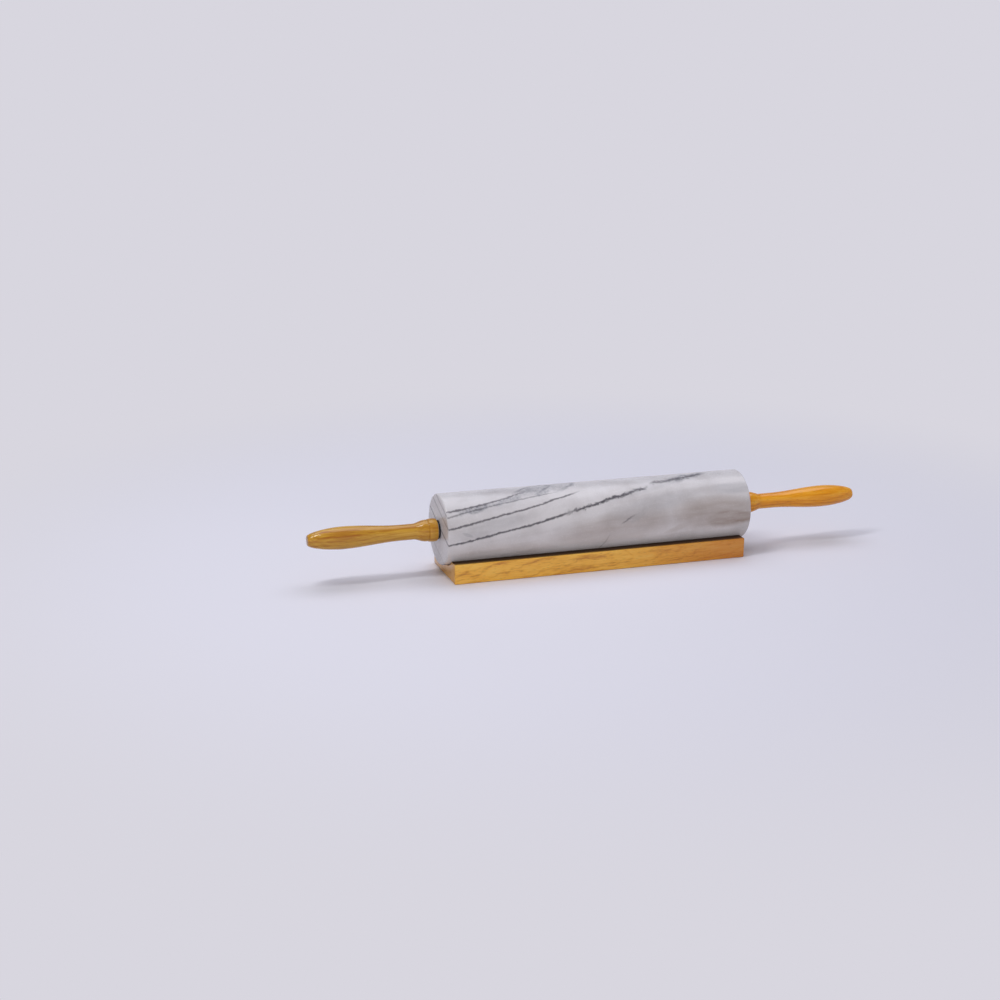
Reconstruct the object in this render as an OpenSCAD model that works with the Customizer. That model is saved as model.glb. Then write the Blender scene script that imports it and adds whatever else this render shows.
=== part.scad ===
// Rolling pin with a marble barrel and turned wooden handles, lying on a wooden cradle.
// X runs along the barrel and Z is up. The origin is under the middle of the cradle, on its underside.

/* [Barrel] */
// Length of the marble barrel
barrel_len = 254; // [200:1:320]
// Diameter of the marble barrel
barrel_d = 56; // [50:1:76]
// Radius ground onto the barrel's two end edges
barrel_edge_r = 1.5; // [1:0.5:6]
// Diameter of the hole drilled through the barrel
barrel_bore_d = 12; // [11.5:0.5:16]

/* [Bearings] */
// Length of a bearing's sleeve inside the barrel
bearing_len = 18; // [10:1:30]
// Width of the flange's lip, past the barrel's hole
flange_lip = 1.4; // [1:0.1:2.5]
// Thickness of a bearing's flange
flange_t = 0.9; // [0.6:0.1:1.6]

/* [Axle] */
// Diameter of the axle rod between its shoulders
axle_d = 8; // [7.5:0.5:9]
// Diameter of the axle's threaded ends
thread_d = 6; // [4:0.5:6]
// Length of each threaded end, from its shoulder
thread_len = 22; // [20:1:30]

/* [Washers] */
// Outer diameter of a thrust washer
washer_d = 13.4; // [11:0.2:16]
// Thickness of a thrust washer
washer_t = 0.8; // [0.5:0.1:1.5]

/* [Handles] */
// Length of a handle
handle_len = 102; // [96:1:125]
// Largest diameter of the collar beside the barrel
collar_d = 18.2; // [17:0.2:24]
// Length of the collar
collar_len = 6.6; // [5:0.2:12]
// Length over which the shoulder flares down from the collar to the neck
flare_len = 11; // [8:0.5:18]
// Length of the straight neck
neck_len = 9.5; // [4:0.5:16]
// Diameter of the neck
neck_d = 12.4; // [12:0.2:16]
// Diameter of the swell that fills the palm
swell_d = 17.6; // [16:0.2:26]
// Distance from the collar's face to the widest part of the swell
swell_at = 74; // [60:1:88]
// Diameter of the small flat at the handle's tip
tip_d = 6.4; // [5:0.2:10]

/* [Threaded inserts] */
// Outer diameter of the insert in a handle
insert_d = 9; // [8:0.2:10]
// Length of the insert
insert_len = 13; // [10:1:18]

/* [Cradle] */
// How far each end of the cradle stops short of the barrel's end
cradle_inset = 5; // [-10:0.5:20]
// How far each side of the cradle reaches past the barrel's side
cradle_overhang = 0.5; // [-4:0.5:8]
// Depth of the trough below the cradle's flat lands
trough_depth = 7.4; // [5:0.2:12]
// Thickness of wood left under the trough
trough_floor = 8.6; // [6:0.2:12]
// Radius sanded onto the cradle's outer edges
cradle_edge_r = 1; // [0.4:0.2:2]
// Width of the chamfer round each end of the trough
trough_chamfer = 0.8; // [0.4:0.2:1.6]

/* [Clearances] */
// Gap between the barrel and the trough
seat_gap = 0.3; // [0.2:0.05:0.5]
// Radial gap between the axle and a bearing
running_gap = 0.06; // [0.02:0.01:0.1]
// Radial gap round a piece that is pushed, glued or screwed into its hole
push_gap = 0.03; // [0.01:0.01:0.05]
// End play between a bearing's flange and its washer
end_play = 0.3; // [0.2:0.05:0.6]
// Radial gap round a threaded end where it only passes through
thread_gap = 0.2; // [0.1:0.05:0.4]

/* [Hidden] */
$fn = 96;
left = -1;
right = 1;
round_fn = 180;

// Cradle
cradle_len = barrel_len - 2 * cradle_inset;
cradle_w = barrel_d + 2 * cradle_overhang;
cradle_h = trough_floor + trough_depth;
trough_r = barrel_d / 2 + seat_gap;
axis_z = trough_floor + trough_r;

// Stations along the axle, measured outward from the barrel's end face
shoulder_at = flange_t + end_play;
handle_at = shoulder_at + washer_t;
thread_end_at = shoulder_at + thread_len;

// Stations along a handle, measured from its collar's face
crease_len = 0.9;
crease_depth = 0.45;
flare_at = collar_len + crease_len;
neck_at = flare_at + flare_len;
rise_at = neck_at + neck_len;
pilot_run_out = 3;
pilot_depth = thread_end_at - handle_at + pilot_run_out;

// Shape of a handle's outline
collar_corner = 0.4;
collar_bulge = 0.3;
shoulder_step = 0.4;
tip_power = 1.7;
shoulder_fullness = 1.25;
flare_steps = 12;
rise_steps = 16;
tip_steps = 14;
collar_steps = 8;

// Small edges
sleeve_chamfer = 0.8;
flange_chamfer = 0.2;
rod_chamfer = 0.6;
insert_chamfer = 0.5;
bore_chamfer = 0.5;
cut = 1;

// Places a piece that is drawn outward along +Z at the right or the left end of the barrel
module at_end(side) {
    translate([side * barrel_len / 2, 0, axis_z]) rotate([0, side * 90, 0]) children();
}

// A rod standing on z = 0 with a chamfer at its far end
module chamfered_rod(d, h, chamfer) {
    cylinder(d = d, h = h - chamfer);
    translate([0, 0, h - chamfer]) cylinder(d1 = d, d2 = d - 2 * chamfer, h = chamfer);
}

// A hole cut down from z = 0, widened by a chamfer at its mouth
module chamfered_hole(d, depth, chamfer) {
    translate([0, 0, -cut]) cylinder(d = d, h = depth + cut);
    translate([0, 0, -cut]) cylinder(d1 = d + 2 * (chamfer + cut), d2 = d, h = chamfer + cut);
}

// A rectangle centred on the origin with its four corners rounded
module rounded_rectangle(width, height, r) {
    square([width - 2 * r, height], center = true);
    square([width, height - 2 * r], center = true);
    for (x = [-1, 1], y = [-1, 1])
        translate([x * (width / 2 - r), y * (height / 2 - r)]) circle(r);
}

// The room that the barrel takes in the cradle: a round channel with a chamfered mouth at each end
module trough() {
    translate([0, 0, axis_z]) rotate([0, 90, 0]) {
        cylinder(r = trough_r, h = cradle_len + 2 * cut, center = true, $fn = round_fn);
        for (turn = [0, 180])
            rotate([turn, 0, 0]) translate([0, 0, cradle_len / 2 - trough_chamfer])
                cylinder(r1 = trough_r, r2 = trough_r + trough_chamfer + cut, h = trough_chamfer + cut,
                    $fn = round_fn);
    }
}

// Wooden cradle: one block with its outer edges sanded round and the trough along its top
module cradle() {
    color("burlywood") difference() {
        translate([0, 0, cradle_h / 2]) intersection() {
            rotate([90, 0, 90]) linear_extrude(cradle_len, center = true)
                rounded_rectangle(cradle_w, cradle_h, cradle_edge_r);
            rotate([90, 0, 0]) linear_extrude(cradle_w, center = true)
                rounded_rectangle(cradle_len, cradle_h, cradle_edge_r);
            linear_extrude(cradle_h, center = true)
                rounded_rectangle(cradle_len, cradle_w, cradle_edge_r);
        }
        trough();
    }
}

// Marble barrel: a solid cylinder with ground end edges, drilled through
module barrel() {
    color("gainsboro") translate([0, 0, axis_z]) rotate([0, 90, 0]) difference() {
        rotate_extrude($fn = round_fn) intersection() {
            rounded_rectangle(barrel_d, barrel_len, barrel_edge_r);
            translate([0, -barrel_len / 2]) square([barrel_d, barrel_len]);
        }
        for (turn = [0, 180])
            rotate([turn, 0, 0]) translate([0, 0, -barrel_len / 2])
                chamfered_hole(barrel_bore_d, barrel_len, bore_chamfer);
    }
}

// Steel axle: a rod with a shoulder and a narrower threaded end on each side
module axle_rod() {
    color("silver") translate([0, 0, axis_z]) rotate([0, 90, 0]) {
        cylinder(d = axle_d, h = barrel_len + 2 * shoulder_at, center = true);
        for (turn = [0, 180])
            rotate([turn, 0, 0]) chamfered_rod(thread_d, barrel_len / 2 + thread_end_at, rod_chamfer);
    }
}

// Nylon bearing: a sleeve inside the barrel with a thin flange against its end face
module bearing(side) {
    sleeve_d = barrel_bore_d - 2 * push_gap;
    color("dimgray") at_end(side) difference() {
        union() {
            chamfered_rod(barrel_bore_d + 2 * flange_lip, flange_t, flange_chamfer);
            rotate([180, 0, 0]) chamfered_rod(sleeve_d, bearing_len, sleeve_chamfer);
        }
        translate([0, 0, -bearing_len - cut])
            cylinder(d = axle_d + 2 * running_gap, h = bearing_len + flange_t + 2 * cut);
    }
}

// Steel thrust washer, held between the axle's shoulder and the handle
module washer(side) {
    color("gray") at_end(side) translate([0, 0, shoulder_at]) difference() {
        cylinder(d = washer_d, h = washer_t);
        translate([0, 0, -cut]) cylinder(d = thread_d + 2 * thread_gap, h = washer_t + 2 * cut);
    }
}

// Brass insert in the handle's collar, which the axle's threaded end screws into
module insert(side) {
    color("goldenrod") at_end(side) translate([0, 0, handle_at]) difference() {
        chamfered_rod(insert_d, insert_len, insert_chamfer);
        translate([0, 0, -cut]) cylinder(d = thread_d + 2 * push_gap, h = insert_len + 2 * cut);
    }
}

// A value that leaves a and arrives at b without a kink, as t goes from 0 to 1
function eased(a, b, t) = a + (b - a) * (1 - cos(180 * t)) / 2;

// Radius of the collar at distance s from its face, largest at its middle
function collar_r(s) = collar_d / 2 - collar_bulge * pow(2 * s / collar_len - 1, 2);

// Radius between the swell and the tip, as t goes from 0 at the swell to 1 at the tip
function tip_r(t) = tip_d / 2 + (swell_d - tip_d) / 2 * sqrt(1 - pow(t, tip_power));

// Outline of a handle, from its collar's face up to its tip
module handle_outline() {
    collar_end_r = collar_r(collar_len) - shoulder_step;
    polygon([
        [0, 0],
        [collar_r(0) - collar_corner, 0],
        for (i = [1 : collar_steps]) [collar_r(i / collar_steps * collar_len), i / collar_steps * collar_len],
        [collar_end_r - crease_depth, collar_len + crease_len / 2],
        for (i = [0 : flare_steps])
            let (t = i / flare_steps)
                [eased(collar_end_r, neck_d / 2, pow(t, shoulder_fullness)), flare_at + t * flare_len],
        for (i = [0 : rise_steps])
            [eased(neck_d / 2, swell_d / 2, i / rise_steps), rise_at + i / rise_steps * (swell_at - rise_at)],
        for (i = [1 : tip_steps])
            let (t = sin(90 * i / tip_steps)) [tip_r(t), swell_at + t * (handle_len - swell_at)],
        [0, handle_len]
    ]);
}

// Turned wooden handle, drilled for the insert and for the axle's threaded end
module handle(side) {
    color("peru") at_end(side) translate([0, 0, handle_at]) difference() {
        rotate_extrude($fn = round_fn) handle_outline();
        chamfered_hole(insert_d + 2 * push_gap, insert_len, bore_chamfer);
        translate([0, 0, -cut]) cylinder(d = thread_d + 2 * thread_gap, h = pilot_depth + cut);
    }
}

module left_bearing() bearing(left);
module right_bearing() bearing(right);
module left_washer() washer(left);
module right_washer() washer(right);
module left_insert() insert(left);
module right_insert() insert(right);
module left_handle() handle(left);
module right_handle() handle(right);

cradle();
barrel();
axle_rod();
left_bearing();
right_bearing();
left_washer();
right_washer();
left_insert();
right_insert();
left_handle();
right_handle();
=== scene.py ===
"""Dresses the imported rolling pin: a veined marble barrel, lacquered handles and a lacquered cradle.

The barrel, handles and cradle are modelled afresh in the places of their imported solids. The axle, bearings,
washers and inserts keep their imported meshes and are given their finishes.
"""

import logging
import math
from collections.abc import Iterable, Mapping, Sequence
from dataclasses import dataclass
from enum import Enum
from typing import Any, Protocol

import bmesh
import bpy
from mathutils import Matrix, Vector

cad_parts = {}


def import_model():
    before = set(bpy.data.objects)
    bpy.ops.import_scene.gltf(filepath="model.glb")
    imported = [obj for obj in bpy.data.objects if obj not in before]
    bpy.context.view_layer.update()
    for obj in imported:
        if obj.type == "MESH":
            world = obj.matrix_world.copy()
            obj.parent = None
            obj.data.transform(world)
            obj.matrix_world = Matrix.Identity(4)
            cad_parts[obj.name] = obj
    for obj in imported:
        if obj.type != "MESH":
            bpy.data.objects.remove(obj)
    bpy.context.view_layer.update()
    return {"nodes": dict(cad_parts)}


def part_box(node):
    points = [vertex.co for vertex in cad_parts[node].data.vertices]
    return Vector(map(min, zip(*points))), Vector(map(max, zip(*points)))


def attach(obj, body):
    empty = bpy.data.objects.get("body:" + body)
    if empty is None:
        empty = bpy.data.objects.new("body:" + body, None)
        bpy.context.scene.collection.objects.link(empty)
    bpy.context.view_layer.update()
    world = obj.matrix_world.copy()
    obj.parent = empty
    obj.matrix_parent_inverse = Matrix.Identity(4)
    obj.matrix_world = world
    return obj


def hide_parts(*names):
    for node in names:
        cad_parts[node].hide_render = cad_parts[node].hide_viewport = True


MM = 0.001
LOG = logging.getLogger("rolling_pin")

# What the lamps face, in metres: the pin's middle
LAMP_AIM = (0.0, 0.0, 0.03)

# Sockets of the Mix node when it mixes colours
MIX_FACTOR, MIX_FIRST, MIX_SECOND = 0, 6, 7

# A point of a turned outline: distance along the pin and radius, both in metres
Station = tuple[float, float]

# Linear red, green, blue and alpha
Colour = tuple[float, float, float, float]

# A pattern is what a node's input can take: another node, one of its outputs, or a plain number
Tree = bpy.types.NodeTree
Node = bpy.types.Node
Pattern = bpy.types.Node | bpy.types.NodeSocket | float


class Body(str, Enum):
    """The rigid bodies that pieces ride on."""

    CRADLE = "cradle"
    HANDLE_SET = "handle_set"
    ROLLER = "roller"


class Slot(str, Enum):
    """The record's material slots of the pieces that are modelled afresh."""

    MARBLE = "marble"
    HANDLE_WOOD = "handle_wood"
    CRADLE_WOOD = "cradle_wood"


class Side(Enum):
    """The two ends of the pin."""

    LEFT = -1
    RIGHT = 1

    @property
    def label(self) -> str:
        """The word that node names start with."""
        return self.name.lower()


class Finish(Protocol):
    """What every finish can do."""

    def material(self) -> bpy.types.Material:
        """Builds the finish's material."""
        ...


def linear_colour(hex_code: str) -> Colour:
    """Turns an sRGB hex colour into Blender's linear colour.

    Args:
        hex_code: Six hex digits, such as "e2dfe0".

    Returns:
        Linear red, green and blue, with an alpha of 1.
    """
    channels = [int(hex_code[i : i + 2], 16) / 255 for i in (0, 2, 4)]
    linear = [c / 12.92 if c <= 0.04045 else ((c + 0.055) / 1.055) ** 2.4 for c in channels]
    return (linear[0], linear[1], linear[2], 1.0)


def fill_inputs(tree: Tree, node: Node, inputs: Mapping[int | str, Any]) -> None:
    """Fills or links a node's inputs.

    Args:
        tree: The node's tree.
        node: The node.
        inputs: Input names or numbers, each with its value, or with the output or the node that it takes. A
            node stands for its first output in use.
    """
    for key, value in inputs.items():
        if isinstance(value, bpy.types.Node):
            value = next(output for output in value.outputs if output.enabled)
        if isinstance(value, bpy.types.NodeSocket):
            tree.links.new(value, node.inputs[key])
        else:
            node.inputs[key].default_value = value


def add_node(tree: Tree, kind: str, inputs: Mapping[int | str, Any] | None = None, **settings: Any) -> Node:
    """Adds a node with its settings, and fills or links its inputs.

    Args:
        tree: The node tree to add to.
        kind: The node's type without its prefix, such as "Math".
        inputs: What each input holds or takes, as for fill_inputs.
        settings: The node's own properties.

    Returns:
        The new node.
    """
    node = tree.nodes.new("ShaderNode" + kind)
    for name, value in settings.items():
        setattr(node, name, value)
    fill_inputs(tree, node, inputs or {})
    return node


def new_material(name: str) -> tuple[bpy.types.Material, Tree, Node]:
    """Makes a material that holds only a Principled shader and its output.

    Args:
        name: The material's name.

    Returns:
        The material, its node tree and the shader node.
    """
    material = bpy.data.materials.new(name)
    material.use_nodes = True
    tree = material.node_tree
    tree.nodes.clear()
    shader = add_node(tree, "BsdfPrincipled")
    add_node(tree, "OutputMaterial", {"Surface": shader})
    return material, tree, shader


def lay_tints(tree: Tree, base: Node | Colour, tints: Iterable[tuple[Pattern, str]]) -> Node | Colour:
    """Lays tints over a colour, one after the other.

    Args:
        tree: The material's node tree.
        base: The colour underneath, or the node that gives it.
        tints: How much of each tint shows, and its hex colour.

    Returns:
        The node that gives the whole colour.
    """
    for amount, tint in tints:
        mixed = {MIX_FACTOR: amount, MIX_FIRST: base, MIX_SECOND: linear_colour(tint)}
        base = add_node(tree, "Mix", mixed, data_type="RGBA")
    return base


def texture_surface(
    tree: Tree,
    shader: Node,
    pattern: Node,
    roughness: tuple[float, float],
    relief: tuple[float, float],
    heights: Node | None = None,
) -> None:
    """Lets a pattern vary a shader's roughness and raise its surface.

    Args:
        tree: The material's node tree.
        shader: The shader.
        pattern: The pattern.
        roughness: The roughness where the pattern is 0, and where it is 1.
        relief: How strong the relief is, and its depth in metres.
        heights: The pattern of the relief, where it is another one.
    """
    least, most = roughness
    strength, depth = relief
    raised = {"Height": heights or pattern, "Strength": strength, "Distance": depth}
    rough = add_node(tree, "MapRange", {"Value": pattern, "To Min": least, "To Max": most})
    fill_inputs(tree, shader, {"Roughness": rough, "Normal": add_node(tree, "Bump", raised)})


@dataclass(frozen=True)
class Push:
    """A noise that pushes a pattern aside: its size and depth in millimetres, and its detail."""

    size: float
    depth: float
    detail: float


@dataclass(frozen=True)
class Vein:
    """A dark line that winds along the barrel, given on the barrel as if unrolled.

    Angles are in degrees from the top towards the cradle's front, at the left end face. They drift along the
    barrel by so many degrees a millimetre, and the drift itself grows by twice the bow. A vein that begins or
    ends on the barrel fades over a span of its length.
    """

    angle: float
    drift: float
    bow: float
    half_width: float
    strength: float
    raggedness: float
    begins: tuple[float, float] | None = None
    ends: tuple[float, float] | None = None


@dataclass(frozen=True)
class EndTrace:
    """Where a sheet of vein mineral crosses the two end faces: its height there across the bedding."""

    left: float
    right: float
    half_width: float
    strength: float


@dataclass(frozen=True)
class Patch:
    """An egg-shaped stain on the barrel: its place, angle, size in millimetres, slant, fill and dark rim."""

    along: float
    angle: float
    half_length: float
    half_height: float
    slant: float = 0.0
    strength: float = 0.5
    rim: float = 0.0


@dataclass(frozen=True)
class PolishedMarble:
    """White calcite marble, turned to a cylinder and polished.

    It gives a pale ground with faint grey bands, thin charcoal veins with ragged edges that run on over the
    end faces, smoky patches where a fold of the stone meets the surface, and a broad soft gloss.
    """

    axis_height: float
    radius: float
    left_face: float
    bedding_tilt: float = 19.3
    ground: str = "dad8df"
    shade: str = "b9b5ba"
    smoke: str = "868893"
    warm: str = "948177"
    vein: str = "514e57"
    roughness: float = 0.25
    # Slow folds are some 40 and 9 mm long, eddies of 13 mm stir the smoke, and crystals of 1 to 3 mm make the
    # veins' edges ragged
    folds: tuple[Push, ...] = (Push(42.0, 2.4, 1.0), Push(9.0, 1.2, 1.0))
    eddies: tuple[Push, ...] = (Push(13.0, 9.0, 2.0),)
    crumble: tuple[Push, ...] = (Push(2.8, 2.6, 3.0),)
    # Where a line's dark core ends, and where veins and end traces have faded, in half widths
    core: float = 0.15
    vein_edge: float = 1.45
    trace_edge: float = 1.35
    # Each vein's angle, drift, bow, half width, strength and raggedness: eight in front and six behind
    veins: tuple[Vein, ...] = (
        Vein(101.2, -0.32, -0.0006, 0.95, 0.92, 0.35, ends=(-34.0, -20.0)),
        Vein(101.2, -0.32, -0.0006, 1.5, 0.95, 1.7, begins=(-34.0, -20.0), ends=(37.0, 43.0)),
        Vein(74.5, -0.26, -0.0016, 0.88, 0.85, 0.25, ends=(-24.0, -14.0)),
        Vein(46.2, -0.12, -0.0049, 0.95, 0.8, 0.7, ends=(-66.0, -58.0)),
        Vein(56.0, -0.4, 0.0005, 0.7, 0.55, 0.6, ends=(-44.0, -32.0)),
        Vein(-127.3, 1.803, -0.0055, 1.9, 0.66, 2.8, begins=(44.0, 48.0), ends=(90.0, 99.0)),
        Vein(245.7, -1.1, 0.0, 0.9, 0.55, 0.5, begins=(14.0, 18.0), ends=(22.0, 28.0)),
        Vein(806.0, -5.26, 0.0, 2.2, 0.3, 0.5, begins=(-1.0, 1.0), ends=(4.0, 6.5)),
        Vein(-62.0, 0.22, 0.0006, 1.0, 0.8, 0.5, ends=(30.0, 60.0)),
        Vein(-36.0, 0.05, -0.0012, 0.8, 0.6, 0.5, ends=(-90.0, -60.0)),
        Vein(-105.0, 0.3, 0.0, 1.1, 0.85, 1.0, begins=(-60.0, -20.0)),
        Vein(-128.0, 0.34, 0.0, 0.7, 0.5, 0.5),
        Vein(150.0, 0.28, -0.0003, 0.9, 0.7, 0.5),
        Vein(166.0, 0.3, 0.0, 1.5, 0.45, 1.0, begins=(-90.0, -50.0), ends=(60.0, 110.0)),
    )
    traces: tuple[EndTrace, ...] = (
        EndTrace(4.1, 12.5, 1.1, 0.62),
        EndTrace(16.0, -3.0, 1.0, 0.42),
        EndTrace(23.4, -14.5, 0.9, 0.45),
        EndTrace(-17.0, 21.0, 0.7, 0.2),
    )
    clouds: tuple[Patch, ...] = (
        Patch(-52.0, 10.0, 16.5, 7.6, slant=-0.42, strength=0.62, rim=0.85),
        Patch(-30.0, 4.0, 14.0, 8.0, slant=-0.3, strength=0.36, rim=0.8),
        Patch(-46.0, 21.0, 9.5, 2.8, slant=-0.15, strength=0.75),
        Patch(-103.0, 46.0, 17.0, 3.4, slant=-0.2, strength=0.8),
        Patch(-76.0, 33.0, 17.0, 3.2, slant=-0.32, strength=0.8),
        Patch(79.0, 8.0, 22.0, 5.4, slant=-0.27, strength=0.8),
        Patch(30.0, 79.0, 9.0, 4.0, slant=-0.5, strength=0.22),
        Patch(62.0, -70.0, 32.0, 6.0, slant=0.1, strength=0.5, rim=0.2),
        Patch(-70.0, 150.0, 26.0, 9.0, slant=0.2, strength=0.55),
    )
    tints: tuple[Patch, ...] = (
        Patch(-111.5, 85.0, 5.5, 1.9, slant=0.35, strength=0.6),
        Patch(-92.0, 76.0, 38.0, 7.0, slant=-0.18, strength=0.28),
        Patch(48.0, 28.0, 50.0, 5.0, slant=-0.25, strength=0.16),
        Patch(-84.0, 26.0, 58.0, 15.0, slant=-0.15, strength=0.16),
        Patch(114.0, 46.0, 24.0, 6.0, slant=0.05, strength=0.34),
        Patch(40.0, 66.0, 44.0, 9.0, slant=-0.2, strength=0.22),
    )
    stains: tuple[Patch, ...] = (
        Patch(106.0, 95.0, 27.0, 9.5, strength=0.84),
        Patch(118.0, 96.0, 16.0, 7.0, strength=0.9),
        Patch(95.0, 84.0, 44.0, 15.0, strength=0.6),
        Patch(71.0, 99.0, 19.0, 3.6, slant=-0.38, strength=0.4),
        Patch(12.0, 96.0, 60.0, 14.0, slant=-0.1, strength=0.42),
        Patch(-80.0, 120.0, 50.0, 9.0, strength=0.2),
        Patch(-40.0, -110.0, 40.0, 12.0, slant=0.1, strength=0.4),
    )

    def material(self) -> bpy.types.Material:
        """Builds the marble.

        Returns:
            The material, patterned in millimetres around the barrel's axis.
        """
        material, tree, shader = new_material("polished_marble")
        spot = add_node(tree, "TexCoord")
        from_axis = {"Location": (0.0, 0.0, -self.axis_height / MM), "Scale": (1 / MM, 1 / MM, 1 / MM)}
        place = add_node(tree, "Mapping", {"Vector": spot.outputs["Object"], **from_axis})
        axes = add_node(tree, "SeparateXYZ", {0: place})
        front = add_node(tree, "Math", {0: axes.outputs["Y"], 1: -1.0}, operation="MULTIPLY")
        turn = add_node(tree, "Math", {0: front, 1: axes.outputs["Z"]}, operation="ARCTAN2")
        angle = add_node(tree, "Math", {0: turn}, operation="DEGREES")
        unrolled = (axes.outputs["X"], angle)
        facing = add_node(tree, "SeparateXYZ", {0: spot.outputs["Normal"]})
        sideways = add_node(tree, "Math", {0: facing.outputs["X"]}, operation="ABSOLUTE")
        on_end = add_node(tree, "MapRange", {"Value": sideways, "From Min": 0.6, "From Max": 0.8})
        on_round = add_node(tree, "Math", {0: 1.0, 1: on_end}, operation="SUBTRACT")
        wander = self._pushes(tree, place, self.folds)
        crumble = self._pushes(tree, place, self.crumble)
        ragged = add_node(tree, "Math", {0: crumble, 1: 0.5, 2: wander}, operation="MULTIPLY_ADD")
        eddies = self._pushes(tree, place, self.eddies)
        stirred = add_node(tree, "Math", {0: ragged, 1: eddies}, operation="ADD")

        # Dapples of 3 mm, and smudges of 6 mm that are drawn out along the barrel
        dappling = {"Scale": 1 / 3, "Detail": 4.0, "Roughness": 0.7}
        dapple = add_node(tree, "TexNoise", {"Vector": place, **dappling})
        drawn = add_node(tree, "VectorMath", {0: place, 1: (0.14, 1.0, 1.0)}, operation="MULTIPLY")
        smudging = {"Scale": 1 / 6, "Detail": 4.0, "Roughness": 0.6}
        smudge = add_node(tree, "TexNoise", {"Vector": drawn, **smudging})
        patterns = (
            (self._patches(tree, self.stains, unrolled, ragged, smudge, 0.7), on_round, self.warm),
            (self._patches(tree, self.tints, unrolled, ragged, smudge, 0.6), on_round, self.smoke),
            (self._patches(tree, self.clouds, unrolled, stirred, dapple, 0.3), on_round, self.smoke),
            (self._veins(tree, unrolled, wander, crumble, dapple), on_round, self.vein),
            (self._traces(tree, place, wander), on_end, self.vein),
        )
        shown = [
            (add_node(tree, "Math", {0: strength, 1: where}, operation="MULTIPLY"), tint)
            for strength, where, tint in patterns
        ]
        # Crystals of 1.2 mm take the polish unevenly
        graining = {"Scale": 1 / 1.2, "Detail": 3.0, "Roughness": 0.6}
        grain = add_node(tree, "TexNoise", {"Vector": place, **graining})
        roughness = (self.roughness - 0.05, self.roughness + 0.07)
        texture_surface(tree, shader, grain, roughness, relief=(0.12, 0.03 * MM))
        looks = {
            "Base Color": lay_tints(tree, self._ground_colour(tree, place), shown),
            "Subsurface Weight": 0.12,
            "Subsurface Radius": (1.0, 0.9, 0.85),
            "Subsurface Scale": 2.0 * MM,
            "IOR": 1.49,
        }
        fill_inputs(tree, shader, looks)
        return material

    def _ground_colour(self, tree: Tree, place: Node) -> Node | Colour:
        """Lays the pale ground, with faint grey bands along the bedding and crystals in it.

        Args:
            tree: The material's node tree.
            place: The place in millimetres from the barrel's axis.

        Returns:
            The node that gives the ground's colour.
        """
        turn = (math.radians(-self.bedding_tilt), math.radians(6.0), 0.0)
        bedded = add_node(tree, "Mapping", {"Vector": place, "Rotation": turn})
        squeezed = add_node(tree, "VectorMath", {0: bedded, 1: (0.08, 0.3, 1.0)}, operation="MULTIPLY")
        # Bands of 7.5 mm, clouds of 30 mm and crystals of 0.9 mm
        banding = {"Scale": 1 / 7.5, "Detail": 4.0, "Roughness": 0.6}
        bands = add_node(tree, "TexNoise", {"Vector": squeezed, **banding})
        clouding = {"Scale": 1 / 30, "Detail": 4.0, "Roughness": 0.55}
        mottle = add_node(tree, "TexNoise", {"Vector": place, **clouding})
        crystals = add_node(tree, "TexNoise", {"Vector": place, "Scale": 1 / 0.9, "Detail": 2.0})
        tone = add_node(tree, "Math", {0: bands, 1: 0.6, 2: mottle}, operation="MULTIPLY_ADD")
        tone = add_node(tree, "Math", {0: crystals, 1: 0.15, 2: tone}, operation="MULTIPLY_ADD")
        shading = {"From Min": 0.8, "From Max": 1.16, "To Max": 0.75}
        amount = add_node(tree, "MapRange", {"Value": tone, **shading})
        return lay_tints(tree, linear_colour(self.ground), [(amount, self.shade)])

    def _pushes(self, tree: Tree, place: Node, pushes: Sequence[Push]) -> Pattern:
        """Adds up how far folds, eddies or ragged crystals push each point's pattern aside, in millimetres.

        Args:
            tree: The material's node tree.
            place: The place in millimetres from the barrel's axis.
            pushes: The pushes to add up.

        Returns:
            The node that gives the whole push.
        """
        total: Pattern = 0.0
        for push in pushes:
            waves = {"Scale": 1 / push.size, "Detail": push.detail}
            noise = add_node(tree, "TexNoise", {"Vector": place, **waves})
            centred = add_node(tree, "Math", {0: noise, 1: 0.5}, operation="SUBTRACT")
            total = add_node(tree, "Math", {0: centred, 1: push.depth, 2: total}, operation="MULTIPLY_ADD")
        return total

    def _veins(
        self,
        tree: Tree,
        unrolled: tuple[Pattern, Pattern],
        wander: Pattern,
        crumble: Pattern,
        dapple: Pattern,
    ) -> Pattern:
        """Draws the veins round the barrel.

        Args:
            tree: The material's node tree.
            unrolled: The place along the barrel and the angle round it.
            wander: The slow push aside.
            crumble: The ragged push aside.
            dapple: A noise that swells and pinches the veins.

        Returns:
            The node that says how dark the veins are, from 0 to 1.
        """
        along, angle = unrolled
        from_face = add_node(tree, "Math", {0: along, 1: self.left_face}, operation="SUBTRACT")
        swelling = {"From Min": 0.35, "From Max": 0.65, "To Min": 0.35, "To Max": -0.4}
        swell = add_node(tree, "MapRange", {"Value": dapple, **swelling})
        dark: Pattern = 0.0
        for vein in self.veins:
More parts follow.
